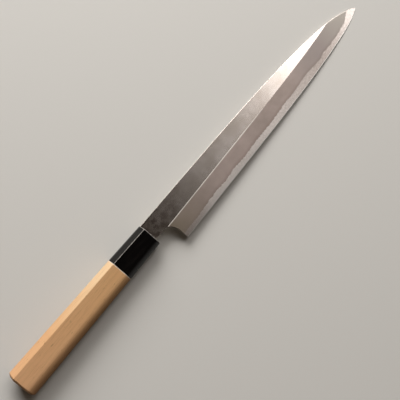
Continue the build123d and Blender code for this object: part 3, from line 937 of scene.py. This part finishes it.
# Flat wall paint, rolled on: pale and even, with hardly any gloss
matte_paint, tree = new_material("matte_pale_paint")
seen = eye_or_mirror(tree)
paint = add_node(tree, "Mix", [(0, seen), (6, linear("#3A332D")), (7, linear("#DEDAD3"))], data_type="RGBA")
spot = add_node(tree, "TexCoord").outputs["Object"]
reach = add_node(tree, "VectorMath", [(0, spot)], operation="LENGTH").outputs["Value"]
far = add_node(tree, "MapRange", [
    ("Value", reach), ("From Min", 0.45), ("From Max", 1.05),
], interpolation_type="SMOOTHSTEP")
faded = add_node(tree, "Math", [(0, far), (1, seen)], operation="MULTIPLY")
covered = add_node(tree, "Mix", [(0, faded), (6, paint.outputs[2]), (7, (0, 0, 0, 1))], data_type="RGBA")
finish_material(tree, [
    ("Base Color", covered.outputs[2]), ("Roughness", 0.9), ("Emission Color", backdrop),
    ("Emission Strength", faded),
])
floor_mesh.materials.append(matte_paint)


# Light
# Soft studio light as in the photograph: a large lamp above the spine's side in dim surroundings,
# and a softly lit panel high beyond the tip that the flat mirrors.

def soft_lamp(name, azimuth, polar, distance, width, height, radiance):
    """A flat rectangular lamp on a sphere around the knife, facing its middle, of even radiance.
    Its grid dims the light by the tangent of the angle off its axis, down to none at 60 degrees."""
    lamp = bpy.data.lights.new(name, "AREA")
    lamp.shape = "RECTANGLE"
    lamp.size, lamp.size_y = width, height
    half_spread = np.radians(60)
    lamp.spread = 2 * half_spread
    gain = np.tan(half_spread) / (np.tan(half_spread) - half_spread)
    lamp.energy = radiance * np.pi * width * height / gain
    across, up = np.sin(np.radians(polar)), np.cos(np.radians(polar))
    way = Vector((across * np.cos(np.radians(azimuth)), across * np.sin(np.radians(azimuth)), up))
    made = bpy.data.objects.new(name, lamp)
    made.location = way * distance
    made.rotation_euler = way.to_track_quat("Z", "Y").to_euler()
    made.visible_camera = False
    bpy.context.scene.collection.objects.link(made)


soft_lamp("key_lamp", azimuth=54, polar=60, distance=1.7, width=1.3, height=1.0, radiance=9.5)

# Around the knife: dim and warm, with the panel and its glow; low down, the eye and mirrors meet
# the floor's pale backdrop
world = bpy.data.worlds.new("dim_surroundings")
bpy.context.scene.world = world
world.use_nodes = True
tree = world.node_tree
tree.nodes.clear()
way = add_node(tree, "TexCoord").outputs["Generated"]
up = add_node(tree, "SeparateXYZ", [("Vector", way)]).outputs["Z"]
height = add_node(tree, "MapRange", [("Value", up), ("From Max", 0.95)])
dim_low, dim_high = (0.066, 0.054, 0.044, 1), (0.036, 0.029, 0.022, 1)
dim = add_node(tree, "Mix", [(0, height), (6, dim_low), (7, dim_high)], data_type="RGBA")
low = add_node(tree, "MapRange", [
    ("Value", up), ("From Min", 0.5), ("From Max", 0.1),
], interpolation_type="SMOOTHSTEP")
shown = add_node(tree, "Math", [(0, low), (1, eye_or_mirror(tree))], operation="MULTIPLY")
around = add_node(tree, "Mix", [(0, shown), (6, dim.outputs[2]), (7, backdrop)], data_type="RGBA")
azimuth, polar = np.radians(8), np.radians(42)
panel_way = (np.sin(polar) * np.cos(azimuth), np.sin(polar) * np.sin(azimuth), np.cos(polar))
off_panel = add_node(tree, "VectorMath", [(0, way), (1, panel_way)], operation="DOT_PRODUCT")
glow, panel = [
    add_node(tree, "MapRange", [
        ("Value", off_panel.outputs["Value"]), ("From Min", np.cos(np.radians(outer))),
        ("From Max", np.cos(np.radians(inner))), ("To Max", strength),
    ], interpolation_type="SMOOTHSTEP")
    for outer, inner, strength in [(29.5, 19, 0.5), (15, 11, 3.2)]
]
lit = add_node(tree, "Math", [(0, glow), (1, panel)], operation="ADD")
lit_colour = add_node(tree, "VectorMath", [(0, (1.0, 0.985, 0.975)), ("Scale", lit)], operation="SCALE")
total = add_node(tree, "VectorMath", [(0, around.outputs[2]), (1, lit_colour)], operation="ADD")
air = add_node(tree, "Background", [("Color", total)])
add_node(tree, "OutputWorld", [("Surface", air)])


# Camera
# Above the handle, looking along the blade; its place and its turn were fitted to the outlines.

camera_place = Vector((-0.112461, -0.045335, 0.476630))
camera_right = Vector((0.630854, -0.773134, 0.065475))
camera_up = Vector((0.749948, 0.629221, 0.204105))
camera_back = Vector((-0.198999, -0.079658, 0.976757))
lens = bpy.data.cameras.new("camera")
lens.sensor_width = 36
lens.lens = 53.117
lens.clip_start = 0.01
lens.clip_end = 20
camera = bpy.data.objects.new("camera", lens)
turn = Matrix((camera_right, camera_up, camera_back)).transposed()
camera.matrix_world = Matrix.Translation(camera_place) @ turn.to_4x4()
bpy.context.scene.collection.objects.link(camera)
bpy.context.scene.camera = camera
bpy.context.scene.view_settings.view_transform = "Standard"
